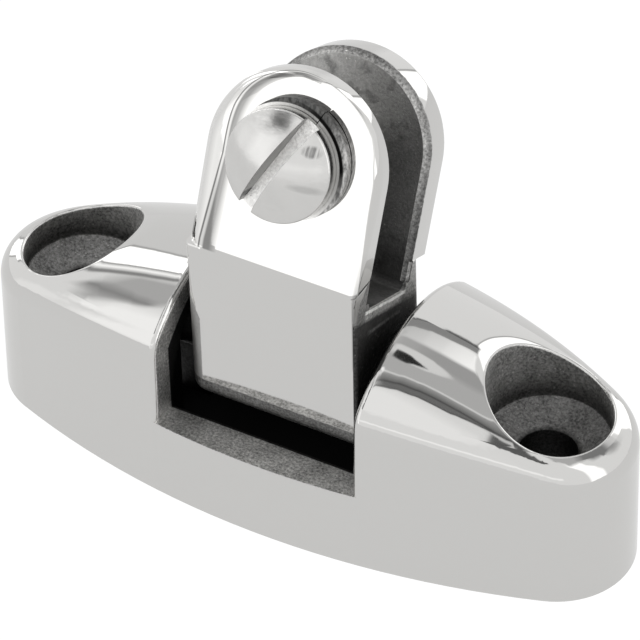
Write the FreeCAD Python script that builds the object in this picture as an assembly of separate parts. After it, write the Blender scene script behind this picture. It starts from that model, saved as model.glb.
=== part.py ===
import FreeCAD, Part
import math
import os

os.makedirs("parts", exist_ok=True)

V = FreeCAD.Vector
X_AXIS = V(1, 0, 0)
Y_AXIS = V(0, 1, 0)
Z_AXIS = V(0, 0, 1)

# Sizes in millimetres. X runs along the base, Y across it, Z up from the deck.
base_length = 80.0
base_width = 28.8
end_radius = 9.3
wall_draft = 1.3
wall = 3.2

# The crown is a round bar bent along the base. Each hump has its own ridge arc,
# centred a little past the middle, so the two would meet in a faint peak.
crown_height = 28.04
ridge_radius = 100.0
ridge_past = 4.84
cross_radius = 18.5
shoulder_radius = 3.6

# The window between the two humps, where the fork stands.
window_half = 12.4
ledge_height = 10.2
opening_half = 9.9
lip_radius = 0.6
pocket_depth = 3.0
web_thickness = 4.0

# Screw seats at the two ends.
seat_inset = 10.4
seat_radius = 7.0
seat_height = 15.4
sink_radius = 6.9
sink_height = 13.5
screw_hole_radius = 3.35
boss_radius = 6.8
underside_depth = 11.0
rim_break = 0.25

# Pivot of the fork.
pin_height = 17.0
pin_radius = 3.0
pin_inset = 0.4
pin_clearance = 0.05
pin_press = 0.02
pin_boss_radius = 4.7
side_gap = 0.3

# Lower block of the fork, which stands upright in the window.
block_front = 8.7
block_back = 7.0
block_bottom = 12.0
block_half_low = 10.9
block_half_high = 10.45
block_top = 34.0
block_round = 2.5
ground_round = 2.0
sharp_round = 0.5
crease_round = 0.6

# Upper part of the fork: two ears, raked back from the lower block.
rake = 22.0
rake_y = -2.07
rake_z = 27.3
ear_half = 10.45
ear_span = 17.4
ear_centre = 15.7
ear_foot = 4.7
ear_root = 1.0
jaw_front = 4.65
jaw_back = 4.4
jaw_floor = 1.45
jaw_round = 0.9
jaw_edge = 0.7

# Clevis screw and lock washer, on an axis through both ears.
screw_height = 16.35
shank_radius = 3.15
shank_clearance = 0.25
thread_press = 0.05
head_radius = 6.25
head_gap = 0.95
head_rim = 1.45
head_dome = 2.1
head_corner = 0.3
slot_width = 1.8
slot_depth = 3.0
slot_angle = 62.0
washer_inner = 4.35
washer_outer = 6.65
washer_thick = 0.8
washer_rise = 0.1
washer_split = 65.0
washer_cut = 1.2

# The lock washer sits off centre under the head, as far as the shank allows.
washer_slip_x = 0.85
washer_slip_up = 0.75


def plan_wire(offset, z):
    """Boat-shaped outline: two side arcs run tangent into two round ends."""
    half = base_width / 2
    xe = base_length / 2 - end_radius
    rs = (xe ** 2 + half ** 2 - end_radius ** 2) / (2 * (half - end_radius))
    turn = math.atan2(xe, rs - half)
    ro = rs - offset
    re = end_radius - offset
    cy = half - rs
    xt = ro * math.sin(turn)
    yt = cy + ro * math.cos(turn)
    edges = []
    edges.append(Part.Arc(V(-xt, yt, z), V(0, cy + ro, z), V(xt, yt, z)).toShape())
    edges.append(Part.Arc(V(xt, yt, z), V(xe + re, 0, z), V(xt, -yt, z)).toShape())
    edges.append(Part.Arc(V(xt, -yt, z), V(0, -cy - ro, z), V(-xt, -yt, z)).toShape())
    edges.append(Part.Arc(V(-xt, -yt, z), V(-xe - re, 0, z), V(-xt, yt, z)).toShape())
    return Part.Wire(edges)


def plan_solid(offset, z0, z1):
    """The outline carried up with the wall's draft."""
    lean = math.tan(math.radians(wall_draft))
    low = plan_wire(offset + lean * z0, z0)
    high = plan_wire(offset + lean * z1, z1)
    return Part.makeLoft([low, high], True, True)


def box(x0, x1, y0, y1, z0, z1):
    return Part.makeBox(x1 - x0, y1 - y0, z1 - z0, V(x0, y0, z0))


def on_rake(shape):
    """Turn a shape built square to the ears into the raked position."""
    shape.rotate(V(0, 0, 0), X_AXIS, -rake)
    shape.translate(V(0, rake_y, rake_z))
    return shape


def chain(shape, test):
    return [e for e in shape.Edges if test(e)]


def on_bore(edge, x, radius):
    """True for an edge that runs round an upright bore at either end of the base."""
    around = [abs(math.hypot(abs(p.x) - x, p.y) - radius) < 0.01 for p in edge.discretize(5)]
    return all(around) and edge.BoundBox.XLength > radius / 2


# Base casting: drafted boat outline under the crown, with a rounded shoulder.
ridge_centre = V(-ridge_past, 0, crown_height - math.sqrt(ridge_radius ** 2 - ridge_past ** 2))
crown = Part.makeTorus(ridge_radius - cross_radius, cross_radius, ridge_centre, Y_AXIS)
right_half = box(0, base_length, -base_width, base_width, -1, 2 * crown_height)
hump = plan_solid(0, 0, crown_height + 3).common(right_half).common(crown)
shoulder = chain(hump, lambda e: e.BoundBox.ZMin > 5 and e.BoundBox.XMax > 1)
hump = hump.makeFillet(shoulder_radius, shoulder)
body = hump.fuse(hump.mirror(V(0, 0, 0), X_AXIS))

# Window: full width above the ledges, and open to the deck between them.
body = body.cut(box(-window_half, window_half, -base_width, base_width, ledge_height, 2 * crown_height))
lip = chain(body, lambda e: e.BoundBox.XLength < 0.01 and abs(abs(e.BoundBox.Center.x) - window_half) < 0.01
            and e.BoundBox.ZMin > ledge_height + 2)
body = body.makeFillet(lip_radius, lip)
body = body.cut(box(-window_half, window_half, -opening_half, opening_half, -1, 2 * crown_height))

# Pocket behind each cheek, up to the web that carries the pin.
pocket_x = window_half + pocket_depth
rise = [(opening_half, -1), (opening_half, 12.6), (opening_half - 0.6, 15.2), (5.4, 22.2), (4.0, 23.0)]
profile = [(-y, z) for y, z in rise] + rise[::-1]
points = [V(-pocket_x, y, z) for y, z in profile]
pocket = Part.Face(Part.makePolygon(points + points[:1])).extrude(V(2 * pocket_x, 0, 0))
body = body.cut(pocket)

# Screw seats, countersinks and holes, with a hollow underside beside each boss.
web_x = pocket_x + web_thickness
seat_x = base_length / 2 - seat_inset
for side in (-1, 1):
    body = body.cut(Part.makeCylinder(seat_radius, crown_height, V(side * seat_x, 0, seat_height), Z_AXIS))
rims = chain(body, lambda e: on_bore(e, seat_x, seat_radius) and e.BoundBox.ZMin > seat_height + rim_break)
body = body.makeFillet(rim_break, rims)
for side in (-1, 1):
    foot = V(side * seat_x, 0, -1)
    neck = V(side * seat_x, 0, sink_height)
    sink = Part.makeCone(screw_hole_radius, sink_radius, seat_height - sink_height, neck, Z_AXIS)
    hole = Part.makeCylinder(screw_hole_radius, crown_height, foot, Z_AXIS)
    near = box(web_x, seat_x, -base_width, base_width, -1, underside_depth)
    if side < 0:
        near = near.mirror(V(0, 0, 0), X_AXIS)
    hollow = plan_solid(wall, -1, underside_depth).common(near)
    hollow = hollow.cut(Part.makeCylinder(boss_radius, crown_height, foot, Z_AXIS))
    body = body.cut(hollow).cut(sink).cut(hole)

# Pin bosses on the webs, slotted from below so that the fork and its pin go in from the deck side.
boss_face = block_half_low + side_gap
pin_half = web_x - pin_inset
for side in (-1, 1):
    inner_end = V(side * boss_face, 0, pin_height)
    boss = Part.makeCylinder(pin_boss_radius, web_x - boss_face, inner_end, V(side, 0, 0))
    body = body.fuse(boss)
slot_half = pin_radius - pin_press
slot = Part.makeCylinder(slot_half, 2 * web_x + 2, V(-web_x - 1, 0, pin_height), X_AXIS)
slot = slot.fuse(box(-web_x - 1, web_x + 1, -slot_half, slot_half, -1, pin_height))
body = body.cut(slot).removeSplitter()
body.exportStep("parts/base.step")


def tombstone(half, y, z):
    """Outline of an ear: straight sides under a round top, drawn at depth y."""
    e = []
    e.append(Part.makeLine(V(-half, y, z), V(-half, y, ear_centre)))
    e.append(Part.Arc(V(-half, y, ear_centre), V(0, y, ear_centre + half), V(half, y, ear_centre)).toShape())
    e.append(Part.makeLine(V(half, y, ear_centre), V(half, y, z)))
    e.append(Part.makeLine(V(half, y, z), V(-half, y, z)))
    return Part.Wire(e)


# Fork: ears square to their own axis, rounded most on the left front edge.
half_span = ear_span / 2
ears = Part.Face(tombstone(ear_half, -half_span, ear_root)).extrude(V(0, ear_span, 0))
front = chain(ears, lambda e: abs(e.BoundBox.YMax + half_span) < 0.01 and e.BoundBox.ZMax > ear_root + 0.1)
ears = ears.makeFillet(ground_round, sharp_round, front)
back = chain(ears, lambda e: abs(e.BoundBox.YMin - half_span) < 0.01 and e.BoundBox.ZMax > ear_root + 0.1)
ears = ears.makeFillet(sharp_round, back)


# Lower block: drafted upright column with as-cast corners and a rounded foot.
def block_wire(half, rfl, z):
    rfr, rb = sharp_round, block_round
    y0, y1 = -block_front, block_back
    d = math.sqrt(0.5)
    e = []
    e.append(Part.makeLine(V(-half + rfl, y0, z), V(half - rfr, y0, z)))
    e.append(Part.Arc(V(half - rfr, y0, z), V(half - rfr + rfr * d, y0 + rfr - rfr * d, z),
                      V(half, y0 + rfr, z)).toShape())
    e.append(Part.makeLine(V(half, y0 + rfr, z), V(half, y1 - rb, z)))
    e.append(Part.Arc(V(half, y1 - rb, z), V(half - rb + rb * d, y1 - rb + rb * d, z),
                      V(half - rb, y1, z)).toShape())
    e.append(Part.makeLine(V(half - rb, y1, z), V(-half + rb, y1, z)))
    e.append(Part.Arc(V(-half + rb, y1, z), V(-half + rb - rb * d, y1 - rb + rb * d, z),
                      V(-half, y1 - rb, z)).toShape())
    e.append(Part.makeLine(V(-half, y1 - rb, z), V(-half, y0 + rfl, z)))
    e.append(Part.Arc(V(-half, y0 + rfl, z), V(-half + rfl - rfl * d, y0 + rfl - rfl * d, z),
                      V(-half + rfl, y0, z)).toShape())
    return Part.Wire(e)


low = block_wire(block_half_low, ground_round, block_bottom)
high = block_wire(block_half_high, crease_round, block_top)
block = Part.makeLoft([low, high], True, True)
foot_edges = chain(block, lambda e: e.BoundBox.ZMax < block_bottom + 0.01)
block = block.makeFillet(block_round - 0.6, foot_edges)
clear = 4 * ear_centre
block = block.common(on_rake(box(-clear, clear, -half_span, clear, -clear, ear_foot)))
ears = ears.cut(box(-clear, clear, jaw_back, clear, -clear, ear_foot))

# Jaw between the ears, with the blunt rough edge the casting keeps along its mouth.
jaw = box(-clear, clear, -jaw_front, jaw_back, jaw_floor, clear)
corners = chain(jaw, lambda e: e.BoundBox.XLength > clear and e.BoundBox.ZMax < jaw_floor + 0.01)
jaw = jaw.makeFillet(jaw_round, corners)
for face, deep in ((-jaw_front, -jaw_front - jaw_edge), (jaw_back, jaw_back + jaw_edge)):
    kept = Part.makeLoft([tombstone(ear_half - jaw_edge, face, 0), tombstone(ear_half, deep, 0)], True, True)
    band = box(-clear, clear, min(face, deep), max(face, deep), jaw_floor + jaw_round, clear).cut(kept)
    jaw = jaw.fuse(band)
jaw = on_rake(jaw)
ears = on_rake(ears).cut(box(-clear, clear, -clear, -block_front, -clear, clear))
fork = block.fuse(ears).cut(jaw)

# Pin bore and screw holes.
pin_bore = Part.makeCylinder(pin_radius + pin_clearance, 2 * pin_half, V(-pin_half, 0, pin_height), X_AXIS)
fork = fork.cut(pin_bore)
front_mouth = V(0, -half_span, screw_height)
clear_hole = Part.makeCylinder(shank_radius + shank_clearance, half_span, front_mouth, Y_AXIS)
thread_hole = Part.makeCylinder(shank_radius - thread_press, half_span + 1, V(0, 0, screw_height), Y_AXIS)
fork = fork.cut(on_rake(clear_hole)).cut(on_rake(thread_hole)).removeSplitter()
fork.exportStep("parts/swivel_fork.step")


# Pivot pin, lying along the base and held in the two slotted webs.
pin = Part.makeCylinder(pin_radius, 2 * pin_half, V(-pin_half, 0, pin_height), X_AXIS)
pin = pin.makeChamfer(0.5, [e for e in pin.Edges if e.Length > 10 and len(e.Vertexes) == 1])
pin.exportStep("parts/pivot_pin.step")


# Clevis screw: thin rim under a shallow dome, straight slot, shank through both ears.
head_y = -half_span - head_gap
rim_y = head_y - head_rim
apex_y = rim_y - head_dome
sphere = (head_radius ** 2 + head_dome ** 2) / (2 * head_dome)
arc_mid = math.sqrt(sphere ** 2 - (sphere - head_dome / 2) ** 2)
outline = [Part.makeLine(V(0, half_span - 0.4, 0), V(shank_radius, half_span - 0.4, 0))]
outline.append(Part.makeLine(V(shank_radius, half_span - 0.4, 0), V(shank_radius, head_y, 0)))
outline.append(Part.makeLine(V(shank_radius, head_y, 0), V(head_radius, head_y, 0)))
outline.append(Part.makeLine(V(head_radius, head_y, 0), V(head_radius, rim_y, 0)))
on_dome = V(arc_mid, apex_y + head_dome / 2, 0)
outline.append(Part.Arc(V(head_radius, rim_y, 0), on_dome, V(0, apex_y, 0)).toShape())
outline.append(Part.makeLine(V(0, apex_y, 0), V(0, half_span - 0.4, 0)))
screw = Part.Face(Part.Wire(outline)).revolve(V(0, 0, 0), Y_AXIS, 360)
rim_edge = chain(screw, lambda e: abs(e.BoundBox.Center.y - rim_y) < 0.01 and e.Length > 30)
screw = screw.makeFillet(head_corner, rim_edge)
groove = box(-8, 8, apex_y - 1, apex_y + slot_depth, -slot_width / 2, slot_width / 2)
groove.rotate(V(0, 0, 0), Y_AXIS, -slot_angle)
screw = screw.cut(groove)
screw.translate(V(0, 0, screw_height))
screw = on_rake(screw)
screw.exportStep("parts/clevis_screw.step")


# Split lock washer: a flat coil of one turn, open at its split.
span = 360.0 - washer_cut
helix = Part.makeHelix(washer_rise * 360.0 / span, washer_rise, (washer_inner + washer_outer) / 2)
z0 = V(washer_inner, 0, 0)
section = Part.makePolygon([z0, V(washer_outer, 0, 0), V(washer_outer, 0, washer_thick),
                            V(washer_inner, 0, washer_thick), z0])
washer = Part.Wire(helix).makePipeShell([section], True, True)
washer.rotate(V(0, 0, 0), Z_AXIS, washer_split + washer_cut / 2)
washer.rotate(V(0, 0, 0), X_AXIS, 90)
washer.translate(V(washer_slip_x, -half_span - 0.02, screw_height + washer_slip_up))
washer = on_rake(washer)
washer.exportStep("parts/lock_washer.step")
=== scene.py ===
import math

import bpy
from mathutils import Matrix, Vector

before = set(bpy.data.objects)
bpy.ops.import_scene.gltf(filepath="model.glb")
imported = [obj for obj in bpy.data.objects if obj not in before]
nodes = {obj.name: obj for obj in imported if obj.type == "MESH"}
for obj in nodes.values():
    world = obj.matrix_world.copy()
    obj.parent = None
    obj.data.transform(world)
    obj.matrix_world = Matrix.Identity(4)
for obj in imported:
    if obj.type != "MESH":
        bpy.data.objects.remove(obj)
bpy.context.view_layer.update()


# Base. One investment casting in stainless steel: the outside is ground and buffed to a mirror, while
# the window, the two screw seats and the hollow underside keep the grey, grainy skin of the mould.
class Flow:
    """One socket of a finish, so that a mask over the surface is written as plain arithmetic."""

    def __init__(self, tree, socket):
        self.tree = tree
        self.socket = socket

    def node(self, kind, settings, sockets, out=0):
        """Adds a node: its settings first, then the value or link of each of its sockets."""
        made = self.tree.nodes.new("ShaderNode" + kind)
        for key, value in settings.items():
            setattr(made, key, value)
        for key, value in sockets.items():
            if isinstance(value, Flow):
                self.tree.links.new(value.socket, made.inputs[key])
            else:
                made.inputs[key].default_value = value
        return Flow(self.tree, made.outputs[out])

    def math(self, operation, first, second=0.0, third=0.0):
        return self.node("Math", {"operation": operation}, {0: first, 1: second, 2: third})

    def __add__(self, other):
        return self.math("ADD", self, other)

    def __sub__(self, other):
        return self.math("SUBTRACT", self, other)

    def __mul__(self, other):
        return self.math("MULTIPLY", self, other)

    def __truediv__(self, other):
        return self.math("DIVIDE", self, other)

    def __rsub__(self, other):
        return self.math("SUBTRACT", other, self)

    __radd__ = __add__
    __rmul__ = __mul__

    def __abs__(self):
        return self.math("ABSOLUTE", self)

    def __pow__(self, other):
        return self.math("POWER", self, other)

    def __or__(self, other):
        return self.math("MAXIMUM", self, other)

    def __and__(self, other):
        return self.math("MINIMUM", self, other)

    def below(self, limit, blur):
        """1 where this is under the limit, 0 over it, and a soft step as wide as the blur between."""
        return self.math("MULTIPLY_ADD", limit - self, 1 / blur, 0.5).clamped()

    def above(self, limit, blur):
        """1 where this is over the limit, and 0 under it."""
        return 1 - self.below(limit, blur)

    def between(self, low, high, blur):
        """1 from the low value to the high one, and 0 beyond them."""
        return self.above(low, blur) & self.below(high, blur)

    def span(self, low, high):
        """This from 0 at the low value to 1 at the high one."""
        return ((self - low) * (1 / (high - low))).clamped()

    def clamped(self):
        return self.node("Clamp", {}, {"Value": self})

    def far(self, other):
        """Distance from a centre line, from its two coordinates."""
        return (self * self + other * other) ** 0.5

    def pick(self, low, high):
        """A value between two others, where this goes from 0 to 1."""
        return self.node("Mix", {"data_type": "FLOAT"}, {"Factor": self, 2: low, 3: high})

    def lean(self, low, high):
        """A direction of the surface between two others, where this goes from 0 to 1."""
        return self.node("Mix", {"data_type": "VECTOR"}, {"Factor": self, 4: low, 5: high}, 1)

    def mix(self, low, high):
        """A colour between two others, where this goes from 0 to 1."""
        return self.node("Mix", {"data_type": "RGBA"}, {"Factor": self, 6: low, 7: high}, 2)


MM = 0.001


def finish(name, metal=1.0):
    """A new finish: the material, its shader, and the place on the surface in millimetres."""
    material = bpy.data.materials.new(name)
    material.use_nodes = True
    tree = material.node_tree
    shader = tree.nodes["Principled BSDF"]
    shader.inputs["Metallic"].default_value = metal
    place = tree.nodes.new("ShaderNodeTexCoord")
    start = Flow(tree, place.outputs["Object"])
    start = start.node("VectorMath", {"operation": "SCALE"}, {0: start, "Scale": 1 / MM})
    return material, shader, start


def axes(place):
    """The three coordinates of a place, each as a Flow."""
    return [place.node("SeparateXYZ", {}, {"Vector": place}, k) for k in range(3)]


def grain(place, size, detail=3.0, rough=0.55, stretch=(1, 1, 1)):
    """Even noise from 0 to 1 whose lumps are about as wide as the size, in millimetres."""
    spread = place.node("VectorMath", {"operation": "MULTIPLY"}, {0: place, 1: stretch})
    sockets = {"Vector": spread, "Scale": 1 / size, "Detail": detail, "Roughness": rough}
    return place.node("TexNoise", {}, sockets)


def wear_in(shader, flow, **sockets):
    """Links what varies over the surface to the shader's sockets, which are named with underscores."""
    for key, value in sockets.items():
        flow.tree.links.new(value.socket, shader.inputs[key.replace("_", " ")])


def bump(flow, height, depth):
    """Relief: the height from 0 to 1, times that depth in millimetres."""
    return flow.node("Bump", {}, {"Height": height, "Distance": depth * MM, "Strength": 1.0})


def fall_off(distance, reach, radius):
    """Height of a polished face that rolls off over the reach before its edge, as on a round."""
    short = (reach - distance) & reach | 0.0
    return short * short * (-0.5 / radius)


def mould_skin(place):
    """Skin that the mould leaves: its mottle from 0.4 to 1.6, its bright specks, and its relief."""
    fine = grain(place, 0.31, 4.0, 0.65)
    cloud = grain(place, 2.6, 2.0, 0.5)
    mottle = fine.span(0.36, 0.64) * 0.85 + cloud.span(0.35, 0.65) * 0.35 + 0.4
    specks = grain(place, 0.3, 2.0, 0.6).span(0.66, 0.76)
    return mottle, specks, fine


STEEL_TINT = (1.0, 0.992, 0.972, 1)
BLACK = (0, 0, 0, 1)
polished, mirror_rough, cast_rough = 0.66, 0.03, 0.5

seat_x, seat_radius, seat_height, hole_radius = 29.6, 7.0, 15.4, 3.35
window_half, ledge_height, opening_half = 12.4, 10.2, 9.9
side_radius, side_centre, side_wall = 104.25, -89.85, 1.6
web_end, hollow_roof, crown_top, crown_curve = 19.5, 11.05, 24.2, 20

base_finish, shader, place = finish("base_casting")
x, y, z = axes(place)
mottle, specks, lumps = mould_skin(place)
from_seat = (abs(x) - seat_x).far(y)

# What stays as cast: the seats, the window, the fork's well and the hollow underneath.
seat = from_seat.below(seat_radius + 0.03, 0.05)
window = abs(x).below(window_half + 0.05, 0.05) & z.above(ledge_height - 0.05, 0.05)
under_crown = (z + y * y / crown_curve).below(crown_top, 0.2)
well = abs(x).below(web_end, 0.1) & abs(y).below(opening_half + 0.3, 0.1) & under_crown
inside_wall = x.far(abs(y) - side_centre).below(side_radius - side_wall, 0.1)
under = inside_wall & z.below(hollow_roof, 0.1) & abs(x).below(seat_x, 0.1)
cast = seat | window | well | under

# How light each of these is, with painted light and shade in it. The left seat's floor is the lighter one,
# and painted shade darkens each floor round its hole and down into it. Both walls are lighter towards their
# rims and painted darker, as shade, towards the floor.
floor_tone_and_hole_shade = (0.19 + x.below(0, 1.0) * 0.07) * from_seat.above(hole_radius + 0.15, 0.7)
wall_tone_and_shade = 0.16 + z.above(seat_height + 2.0, 2.4) * 0.35
seat_tone = z.above(seat_height + 0.1, 0.2).pick(floor_tone_and_hole_shade, wall_tone_and_shade)
# Painted light: the window's cheeks are lighter towards their tops.
window_tone_and_light = z.above(ledge_height + 0.2, 0.2).pick(0.52, 0.5 + z.above(16.0, 5.0) * 0.1)
# Painted shade: the fork's well is nearly black.
well_shade = 0.03
tone = seat.pick(well.pick(window_tone_and_light, well_shade), seat_tone)
level = cast.pick(polished, tone * mottle + specks * tone * 1.6)

# The buffing wheel rounds the rims of the seats, most of all towards the fork, and the window's edges.
seat_rim, seat_rim_more, seat_slope, window_rim, window_round = 0.45, 1.8, 0.17, 0.8, 3.0
toward_middle = (y * 0.34 - (abs(x) - seat_x) * 0.94) / from_seat
reach = seat_rim + toward_middle.span(0.6, 1.0) * seat_rim_more
seat_edge = fall_off(from_seat - seat_radius, reach, 1.0) / reach * seat_slope
window_edge = fall_off(abs(x) - window_half, window_rim, window_round)
sheen = grain(place, 9.0, 2.0, 0.5)
polish = bump(place, sheen * 0.02 + (seat_edge + window_edge) * (1 - cast), 1.0)
normal = cast.lean(polish, bump(place, lumps, 0.08))
hair = grain(place, 0.3, 2.0, 0.5, (0.06, 1, 1))
rough = cast.pick(mirror_rough + hair * 0.03, cast_rough)
wear_in(shader, place, Base_Color=level.mix(BLACK, STEEL_TINT), Roughness=rough, Normal=normal)
nodes["base"].data.materials[0] = base_finish

# Pivot pin. A short ground stainless bar that lies along the base under the fork. It is pressed into the
# base at both ends, and the fork turns on it.
pin_finish, shader, place = finish("pin_steel")
turned = grain(place, 0.25, 2.0, 0.5, (1, 0.1, 0.1))
wear_in(shader, place, Roughness=turned * 0.15 + 0.2, Normal=bump(place, turned, 0.01))
shader.inputs["Base Color"].default_value = (0.3, 0.295, 0.285, 1)
nodes["pivot_pin"].data.materials[0] = pin_finish

# Swivel fork. The second casting: a block in the window with two ears, mirror-polished outside and
# left as cast inside the jaw and on the lower sides, which the polishing wheel doesn't reach.
rake, rake_y, rake_z = math.radians(22), -2.07, 27.3
jaw_front, jaw_back, jaw_floor, jaw_edge = -4.65, 4.4, 1.45, 0.7
block_front, block_foot, block_back, crease = -8.7, 14.7, 7.0, 34.0
side, ear_half, ear_centre, ear_root, near_top = 10.2, 10.45, 15.7, 4.8, 20.0
front_rim, front_crown, back_rim, back_crown, crown_height = -7.0, 2.9, 6.9, 3.2, 0.017
flank_top, lip_foot, strip_back, strip_more, strip_less = 4.6, 7.0, -7.1, 2.4, 1.8
corner_left, corner_more, corner_bend, corner_top = -9.0, 1.5, 23.6, 27.5


def raked(y, z):
    """Places by the ears' rake: from the front ear to the back one, and from the block up the ears."""
    across = (y - rake_y) * math.cos(rake) - (z - rake_z) * math.sin(rake)
    along = (y - rake_y) * math.sin(rake) + (z - rake_z) * math.cos(rake)
    return across, along


fork_finish, shader, place = finish("fork_casting")
x, y, z = axes(place)
mottle, specks, lumps = mould_skin(place)
across, along = raked(y, z)
ragged = (grain(place, 0.7, 3.0, 0.6) - 0.5) * 0.5

# What stays as cast: the jaw with the lips round it, and the block's sides, left corner, foot and back.
inner = across.between(jaw_front - 0.04, jaw_back + 0.04, 0.04) & along.above(jaw_floor - 0.04, 0.04)
back_lip = (across + ragged * 0.9).below(jaw_back + jaw_edge + 0.1, 0.2) & along.above(jaw_floor, 0.5)
back_lip = across.above(jaw_back + 0.02, 0.03) & back_lip
front_lip = across.above(jaw_front - jaw_edge + 0.05, 0.04) & along.above(lip_foot, 0.1)
front_lip = across.below(jaw_front - 0.02, 0.03) & front_lip
lip = back_lip | front_lip
# A polished strip beside the front face is left out of the sides. It widens up the ears.
strip_edge = strip_back + ((along - 2.6) * 0.23).clamped() * strip_more
strip_edge = strip_edge - (0.8 - along).clamped() * strip_less
beside = abs(x).above(side, 0.05)
flank = beside & (across + ragged * 0.4).above(strip_edge, 0.06) & along.below(flank_top + ragged, 0.1)
front_flank = across.above(strip_edge, 0.06) & across.below(0, 0.1) & along.below(lip_foot + 0.1, 0.3)
flank = flank | beside & front_flank
corner_edge = corner_left - (z - corner_bend).span(0, 3.8) * corner_more
corner = (x + ragged * 0.1).below(corner_edge, 0.08) & z.below(corner_top, 0.1)
foot = (z + ragged * 0.5).below(block_foot, 0.12)
rear = y.above(block_back - 0.1, 0.1) & along.below(flank_top + 0.1, 0.1)
cast = inner | lip | flank | corner | foot | rear

# How light each of these is, with painted light and shade in it. The jaw is painted lighter at its top left
# and painted darkest, as shade, in the nook at its foot.
lit_jaw_top = along.above(near_top, 6.0) & (0 - x).above(-4.0, 10.0)
patches = grain(place, 2.2, 3.0, 0.6).span(0.55, 0.68)
nook_shade = x.above(6.0, 2.5) & along.below(6.5, 4.0) & across.above(jaw_back - 0.5, 0.3)
jaw_tone = (0.25 + lit_jaw_top * 0.3) * (1 - patches * 0.4) * (1 - nook_shade * 0.6) * (0.65 + mottle * 0.35)
# Painted light and shade on the lips: lighter along the back lip's part next to the jaw, darker down
# towards the jaw's foot.
lip_tone = 0.23 + (across.below(jaw_back + 0.36, 0.3) & across.above(0, 1.0)) * 0.15
lip_tone = lip_tone * (0.4 + along.span(8.0, 18.0) * 0.6) * (1.15 - patches * 0.5)
# Painted light and shade on the block's sides: nearly black as shade, painted lighter where the facet above
# them and the wedge under the saddle's ridge catch the light, with a lighter patch at the heel and a
# lighter diagonal streak.
facet = (along + ragged * 0.8).above(0.3, 0.5)
below_ridge = across.between(-5.0, 3.6, 1.2) & along.below(jaw_floor, 0.2)
lighter_streak = (along - across * 0.09 + ragged * 0.4).between(-1.3, -0.9, 0.3) & across.between(-3.2, 3.6, 1.5)
heel = across.above(jaw_back, 0.2) & along.above(0.9, 0.4)
flank_tone = 0.06 + facet * (0.15 + below_ridge * 0.2) + heel * 0.14 + lighter_streak * 0.16
# Painted highlight: a bright line along the saddle's ridge.
ridge = (along + ragged * 0.5).between(jaw_floor - 0.34, jaw_floor + 0.1, 0.12)
ridge = ridge & across.between(-5.2, jaw_back, 0.2) & x.above(0, 1.0)
ridge_highlight = ridge * (0.35 + mottle * 0.2)
tone = lip.pick(inner.pick(0.3 * mottle, jaw_tone), lip_tone * mottle)
tone = flank.pick(tone, flank_tone * mottle + ridge_highlight) + specks * tone
tone = foot.pick(corner.pick(tone, 0.36 + mottle * 0.06), 0.2 * mottle)

# Relief of the polished steel: the crease where the ears begin, a ground band that follows the front
# ear's arch and dies out on its right, and rims that are a little crowned between their edges.
front_crease = fall_off(abs(z - crease), 0.7, 3.6) * y.below(-5.0, 0.1)
above_centre = (along - ear_centre) | 0.0
from_rim = ear_half - x.far(above_centre)
inward = from_rim - (across - block_front)
to_left = (0 - x | 0.0) / x.far(above_centre)
ground = to_left ** 1.15 * 4.3 - 0.65 + along.span(ear_root, 15.0) * 0.4
arris = to_left ** 1.7 * 4.0 - 2.35 + along.span(ear_root, 15.0) * 1.1
on_left_front = x.below(1.0, 3.0) * across.below(front_rim, 0.5) * z.above(crease, 0.5)
ground_band = fall_off(inward, ground, 12.0) * on_left_front
crowned = front_crown - (across - front_rim) ** 2.0 | 0.0
crowned = crowned + (back_crown - (across - back_rim) ** 2.0 | 0.0)
rims = crowned * along.above(lip_foot, 2.0) * crown_height
sheen = grain(place, 9.0, 2.0, 0.5)
polish = bump(place, front_crease + ground_band + rims + sheen * 0.012, 1.0)

# The front ear's face is flat almost up to its edge, so it keeps its own direction there.
part_way = (inward - arris) / (ground - arris)
edge_room = (x.above(2.0, 2.0) & along.above(near_top, 3.0)) * 0.55
on_face = across.below(-8.0 + edge_room, 0.12) & z.above(crease + 0.3, 0.2)
on_face = on_face & (part_way.above(1.0, 0.15) | x.above(1.0, 2.0))
turned_with_fork = {"vector_type": "NORMAL", "convert_from": "OBJECT", "convert_to": "WORLD"}
face_way = place.node("VectorTransform", turned_with_fork, {"Vector": (0, -math.cos(rake), math.sin(rake))})
polish = on_face.lean(polish, face_way)

# Painted reflection: bands of light and shade, painted into the colour, that follow the arch. Part way is 1
# where the flat face ends, 0 on the sharp outer edge of the ground band, and negative on the rim beyond.
grey_reflection, bright_line, dark_line = 0.43, 1.2, 0.35
bright_rim = 1.15 + from_rim.span(1.1, 1.8) * 0.35
painted_reflection = part_way.above(0.9, 0.5).pick(grey_reflection, 1.0)
for limit, blur, shade in ((0.28, 0.12, bright_line), (0.09, 0.06, dark_line), (-0.03, 0.06, bright_rim)):
    painted_reflection = part_way.below(limit, blur).pick(painted_reflection, shade)
painted_reflection = (x.below(1.0, 3.0) & across.below(-6.6, 0.4) & z.above(crease, 0.2)).pick(1.0, painted_reflection)
# Painted shade: the front ear's right side is darker near its root and lighter on the way up.
right_side = x.above(ear_half - 0.3, 0.2) & across.below(-5.0, 0.4)
painted_reflection = painted_reflection * (1 - right_side * (1 - along.span(1.0, 9.0)) * 0.62)
level = cast.pick(polished * painted_reflection, tone)
normal = cast.lean(polish, bump(place, lumps, 0.055))
hair = grain(place, 0.3, 2.0, 0.5, (1, 1, 0.06))
rough = cast.pick(mirror_rough + hair * 0.03, cast_rough)
wear_in(shader, place, Base_Color=level.mix(BLACK, STEEL_TINT), Roughness=rough, Normal=normal)
nodes["swivel_fork"].data.materials[0] = fork_finish

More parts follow.
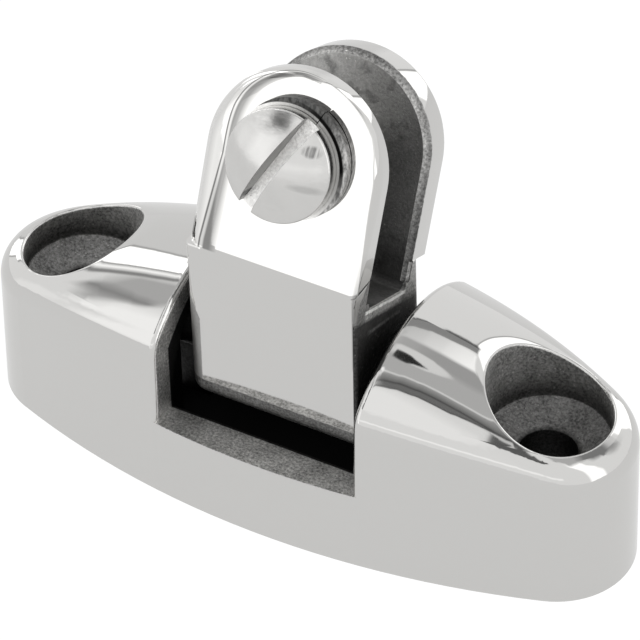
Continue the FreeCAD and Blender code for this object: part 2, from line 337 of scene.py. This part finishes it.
# Lock washer. Rolled spring steel, cut through once and squeezed nearly shut by the screw's head. Its
# colour holds painted light on the side toward the light, a painted black shadow in the gap beside the
# head, and a bright ring close to the head.
screw_height, head_radius, gap_shadow_reach, ring_reach = 16.35, 6.25, 0.8, 0.36
washer_finish, shader, place = finish("washer_steel")
x, y, z = axes(place)
rise = raked(y, z)[1] - screw_height
rolled = grain(place, 0.35, 3.0, 0.6, (1, 1, 0.35))
from_screw = x.far(rise)
# Painted light: the washer is lighter on the side toward the light and darker on the far side.
toward_light = (x * 0.95 - rise * 0.3) / from_screw
bright = 0.2 + rolled.span(0.35, 0.65) * 0.45
level = toward_light.span(0.35, 0.75).pick(0.05 + rolled.span(0.35, 0.7) * 0.12, bright)
# Painted shadow: a black crescent beside the head, where the gap under its edge lies in shade.
beside_head = (x * 0.82 + rise * 0.57) / from_screw
gap_shadow_tone, bright_ring_tone = 0.006, 0.95 - beside_head.span(0.1, 0.8) * 0.5
gap_shadow = from_screw.below(head_radius + gap_shadow_reach, 0.14) & beside_head.above(0.7, 0.4)
# A bright ring close to the head, painted dimmer as shade on the side of the gap's shadow.
bright_ring = from_screw.below(head_radius + ring_reach, 0.1)
level = bright_ring.pick(gap_shadow.pick(level, gap_shadow_tone), bright_ring_tone)
rough, normal = 0.28 + rolled * 0.2, bump(place, rolled, 0.05)
wear_in(shader, place, Base_Color=level.mix(BLACK, STEEL_TINT), Roughness=rough, Normal=normal)
nodes["lock_washer"].data.materials[0] = washer_finish

# Clevis screw. Turned from bar, with a low domed head, and a slot milled roughly into it. It runs through
# a plain hole in the front ear and is tight in the back one.
slot_turn, slot_half, slot_bottom = math.radians(62), 0.9, -9.9
screw_finish, shader, place = finish("screw_steel")
x, y, z = axes(place)
across, along = raked(y, z)
rise = along - screw_height
from_slot = abs(rise * math.cos(slot_turn) - x * math.sin(slot_turn))
down_slot = rise * math.sin(slot_turn) + x * math.cos(slot_turn)
slot = from_slot.below(slot_half + 0.02, 0.03) & across.below(slot_bottom, 0.1)
slot_side = slot & from_slot.above(slot_half - 0.04, 0.03)
torn = grain(place, 0.3, 4.0, 0.7)
cloud = grain(place, 1.8, 2.0, 0.5)
brushed = grain(place, 0.18, 2.0, 0.6, (0.35, 1, 1))


def soft_oval(middle, half, size, blur):
    """A soft oval on the screw's head, in millimetres from its centre."""
    return ((x - middle[0]) / half[0]).far((rise - middle[1]) / half[1]).below(size, blur)


# Painted reflection: a dark streaky patch at the head's upper right.
dark_reflection = soft_oval((4.05, 3.0), (0.95, 0.6), 1.0, 0.5) * grain(place, 0.3, 2.0, 0.5, (1, 0.1, 0.1)).span(0.3, 0.6)
# Two more soft ovals darken the head a little: one low on its right, one at its top.
low_dark_oval = soft_oval((4.2, -1.1), (1.6, 0.4), 1.0, 0.8)
upper_grey_oval = soft_oval((-0.9, 4.7), (2.4, 1.1), 0.8, 0.9) * grain(place, 0.9, 3.0, 0.6, (0.4, 1, 1)).span(0.3, 0.6)
dome_tone = 0.62 + brushed * 0.06 + cloud * 0.06
dome_tone = dome_tone * (1 - dark_reflection * 0.6) * (1 - low_dark_oval * 0.2) * (1 - upper_grey_oval * 0.35)
bottom_tone = 0.8 + torn.span(0.4, 0.6) * 0.2
side_tone = 0.42 - (down_slot + torn).between(-5.1, -3.9, 0.3) * 0.38
level = slot_side.pick(slot.pick(dome_tone, bottom_tone), side_tone)
rough = slot.pick(0.14 + brushed * 0.1, 0.3)
normal = slot.lean(bump(place, brushed + cloud * 4.0, 0.006), bump(place, torn, 0.08))
wear_in(shader, place, Base_Color=level.mix(BLACK, STEEL_TINT), Roughness=rough, Normal=normal)
nodes["clevis_screw"].data.materials[0] = screw_finish

# Floor. A wide pale sheet just under the base. Where the camera or a mirror sees it, most of it is plain
# white, so that it reads as white paper with a light shadow. Under the hollow base it is painted dark as
# shade.
floor_half, floor_drop = 1.5, 0.00002
paper, dark, white = (0.9, 0.9, 0.9, 1), (0.01, 0.01, 0.01, 1), (1, 1, 1, 1)
mirrored_glow, seen_glow, plain_share = 0.85, 1.1, 0.8
floor_mesh = bpy.data.meshes.new("floor")
corners = [(-1, -1), (1, -1), (1, 1), (-1, 1)]
corners = [(floor_half * px, floor_half * py, -floor_drop) for px, py in corners]
floor_mesh.from_pydata(corners, [], [(0, 1, 2, 3)])
floor = bpy.data.objects.new("floor", floor_mesh)
bpy.context.scene.collection.objects.link(floor)
floor_finish, shader, place = finish("floor_paper", metal=0.0)
shader.inputs["Base Color"].default_value = paper
shader.inputs["Roughness"].default_value = 1.0
shader.inputs["Specular IOR Level"].default_value = 0.0
tree = floor_finish.node_tree
x, y, z = axes(place)
# Painted shade: the floor is dark under the hollow base, and no white glow lifts it there.
under_base_shade = abs(x).below(web_end + 0.5, 0.5) & abs(y).below(opening_half + 1.1, 0.5)
wear_in(shader, place, Base_Color=under_base_shade.mix(paper, dark))
path = tree.nodes.new("ShaderNodeLightPath")
direct = Flow(tree, path.outputs["Is Camera Ray"]) | Flow(tree, path.outputs["Is Transmission Ray"])
mirrored = Flow(tree, path.outputs["Is Glossy Ray"])
lit = direct.node("Emission", {}, {"Color": white, "Strength": direct.pick(mirrored_glow, seen_glow)})
share = (direct | mirrored) * plain_share * (1 - under_base_shade)
both = direct.node("MixShader", {}, {0: share, 1: Flow(tree, shader.outputs[0]), 2: lit})
tree.links.new(both.socket, tree.nodes["Material Output"].inputs["Surface"])
floor_mesh.materials.append(floor_finish)

# Studio. A white tent all round, plain white to the camera. The polished steel shows what hangs in it:
# pale and bright sheets on its walls, a grey roof with darker patches, a slot, two beams and a wedge.
world = bpy.data.worlds.new("tent")
bpy.context.scene.world = world
world.use_nodes = True
tree = world.node_tree
tent = tree.nodes["Background"]
path = tree.nodes.new("ShaderNodeLightPath")
camera_ray = Flow(tree, path.outputs["Is Camera Ray"])
glossy_ray = Flow(tree, path.outputs["Is Glossy Ray"])
clear_ray = Flow(tree, path.outputs["Is Transmission Ray"])
gaze = Flow(tree, tree.nodes.new("ShaderNodeTexCoord").outputs["Generated"])
x, y, z = axes(gaze)
heading = x.math("ARCTAN2", x, 0 - y) * math.degrees(1)
height = z.math("ARCSINE", z) * math.degrees(1)
lean_x = x / (1 + z)
lean_y = y / (1 + z)


def laid(walls, mask, level):
    """The walls with that level of light laid over them where the mask is."""
    return walls + mask * (level - walls)


def panel(walls, first, second, middle, half, soft, turn, level):
    """Hangs a turned sheet of that level on the walls. Places are pairs of the two coordinates."""
    turn = math.radians(turn)
    first, second = first - middle[0], second - middle[1]
    wide = abs(first * math.cos(turn) + second * math.sin(turn)).below(half[0], soft)
    high = abs(second * math.cos(turn) - first * math.sin(turn)).below(half[1], soft)
    return laid(walls, wide * high, level)


# Wall panels: heading from the front and height in degrees, half their sizes, how soft, how turned, level.
plain_wall, spread_light = 0.98, 0.75
wall_panels = [
    ((-140, 25), (24, 32), 6, 0, 0.84),
    ((-15, 24), (40, 30), 6, 0, 1.0),
    ((0, 14), (42, 2.6), 2, 0, 1.24),
    ((-42, 22), (15, 22), 9, 0, 1.27),
    ((-70, 4), (8, 14), 6, 0, 1.1),
    ((-24, 1), (8, 4.5), 3, 0, 1.65),
    ((-63, 37), (13, 9), 8, 27, 1.28),
    ((-88, 46), (11, 10), 5, -20, 0.56),
    ((-84, 40), (10, 1.8), 3.5, 27, 0.34),
    ((-102.5, 42), (1.4, 11), 1.6, 0, 0.32),
    ((-106.2, 42), (0.9, 14), 0.8, 0, 1.35),
    ((-116.3, 12), (7.2, 38), 1.4, 0, 1.9),
    ((-123.8, 14), (0.7, 38), 0.8, 0, 0.5),
    ((-108.8, 14), (0.7, 38), 0.8, 0, 0.5),
    ((166.5, 23), (9.5, 28), 1.2, 0, 1.7),
    ((177.2, 20), (0.7, 29), 0.8, 0, 0.5),
    ((166, -11), (30, 0.8), 1.5, -12, 0.55),
    ((82.5, 29), (10.5, 33), 3, 0, 1.6),
    ((138, 47), (10, 14), 16, 0, 0.44),
]
walls = plain_wall
for middle, half, soft, turn, level in wall_panels:
    past = heading - middle[0]
    aside = middle[0] + past.math("WRAP", past, 180.0, -180.0)
    walls = panel(walls, aside, height, middle, half, soft, turn, level)
# Roof panels, laid out as they lean from straight up, sideways and backwards, from 0 to 1 at the horizon.
roof_panels = [
    ((0.03, 0.06), (0.26, 0.14), 0.025, 0, 0.58),
    ((0.02, -0.28), (0.12, 0.12), 0.06, 0, 1.13),
    ((0.25, 0.2), (0.07, 0.1), 0.05, 0, 0.26),
    ((0.05, 0.16), (0.06, 0.06), 0.04, 0, 0.46),
    ((-0.235, -0.22), (0.11, 0.09), 0.06, 0, 0.2),
]
for middle, half, soft, turn, level in roof_panels:
    walls = panel(walls, lean_x, lean_y, middle, half, soft, turn, level)

# Behind the grey roof a slot lets light in, and behind it runs a grey beam with a dark upper edge.
near = lean_x.between(-0.06, 0.06, 0.02)
bent = (-0.02 - lean_x | 0.0) * 2.0 + lean_y
walls = laid(walls, near & bent.between(0.205, 0.33, 0.025), lean_x.span(-0.035, 0.045) * 0.65 + 0.7)
walls = laid(walls, near & bent.between(lean_x * 0.4 + 0.326, 0.408, 0.008), 0.33)
walls = laid(walls, near & bent.between(0.397, 0.41, 0.008), 0.13)
# In front of the roof runs a deeper beam, bent at its left end, with a bright upper edge.
bend = lean_x * -28.0 - 0.2
below_edge = lean_y + 0.018 + bend.math("EXPONENT", bend) * 0.04
near = lean_x.between(-0.03, 0.16, 0.02)
lower = lean_x.span(0.06, 0.13) * 0.036 - 0.086
walls = laid(walls, near & below_edge.between(lower, 0.0, 0.008), 0.2 + below_edge.span(-0.04, 0.0) * 0.26)
for middle, half, level in ((0.004, 0.005, 0.9), (-0.047, 0.004, 0.09), (lower + 0.003, 0.004, 0.1)):
    walls = laid(walls, near & below_edge.between(middle - half, middle + half, 0.006), level)
# Beyond this beam's right end hangs a dark wedge.
wedge = lean_x.between(0.117, 0.25, 0.006) & (lean_y + (lean_x - 0.15 | 0.0) * 1.3).below(-0.086, 0.008)
wedge = wedge & (lean_y + (lean_x - 0.17 | 0.0) * 0.7).above(-0.215, 0.01)
walls = laid(walls, wedge, 0.14)
# Straight above are a pale round patch, a dark one in it that narrows to the right, and a small bright one.
for middle, half, taper, soft, level in (
    ((0.008, 0.09), (0.04, 0.046), 0.35, 0.2, 0.9),
    ((-0.002, 0.066), (0.019, 0.026), 0.9, 0.25, 0.03),
    ((-0.03, -0.062), (0.012, 0.018), 0.0, 0.6, 1.25),
):
    wide = half[1] - (lean_x - middle[0]) * taper
    ring = ((lean_x - middle[0]) / half[0]).far((lean_y - middle[1]) / wide)
    walls = laid(walls, ring.below(1.0, soft), level)
plain = camera_ray | clear_ray
seen = glossy_ray * (1 - plain)
glow = (1 - plain) * (1 - glossy_ray) * spread_light
tent.inputs["Color"].default_value = white
tree.links.new((plain + seen * walls + glow).socket, tent.inputs["Strength"])


def lamp(name, spot, target, width, height, power):
    """A soft box at a spot, turned to its target. Places and sizes are in metres."""
    light = bpy.data.lights.new(name, "AREA")
    light.shape = "RECTANGLE"
    light.size, light.size_y, light.energy = width, height, power
    box = bpy.data.objects.new(name, light)
    box.visible_glossy = False
    aim = (Vector(target) - Vector(spot)).to_track_quat("-Z", "Y")
    box.matrix_world = Matrix.Translation(spot) @ aim.to_matrix().to_4x4()
    bpy.context.scene.collection.objects.link(box)


lamp("front_box", (0.3, -0.5, 0.9), (0, 0, 0.03), 0.5, 0.5, 3.0)

# Camera. The photograph's own angle and distance: a long lens, from the right front and above.
bpy.context.scene.view_settings.view_transform = "Standard"
turn, rise, roll = math.radians(29.858), math.radians(41.154), math.radians(-1.249)
distance, focal_pixels, picture = 0.372245, 3562.659, 640
look_at = Vector((0.009831, -0.014954, 0.035935))
back = Vector((math.sin(turn) * math.cos(rise), -math.cos(turn) * math.cos(rise), math.sin(rise)))
right = Vector((math.cos(turn), math.sin(turn), 0))
up = back.cross(right)
to_right = math.cos(roll) * right + math.sin(roll) * up
upright = math.cos(roll) * up - math.sin(roll) * right
eye = bpy.data.cameras.new("camera")
eye.sensor_width = 36
eye.lens = eye.sensor_width * focal_pixels / picture
eye.clip_start = 0.01
camera = bpy.data.objects.new("camera", eye)
aim = Matrix((to_right, upright, back)).transposed().to_4x4()
camera.matrix_world = Matrix.Translation(look_at + back * distance) @ aim
bpy.context.scene.collection.objects.link(camera)
bpy.context.scene.camera = camera
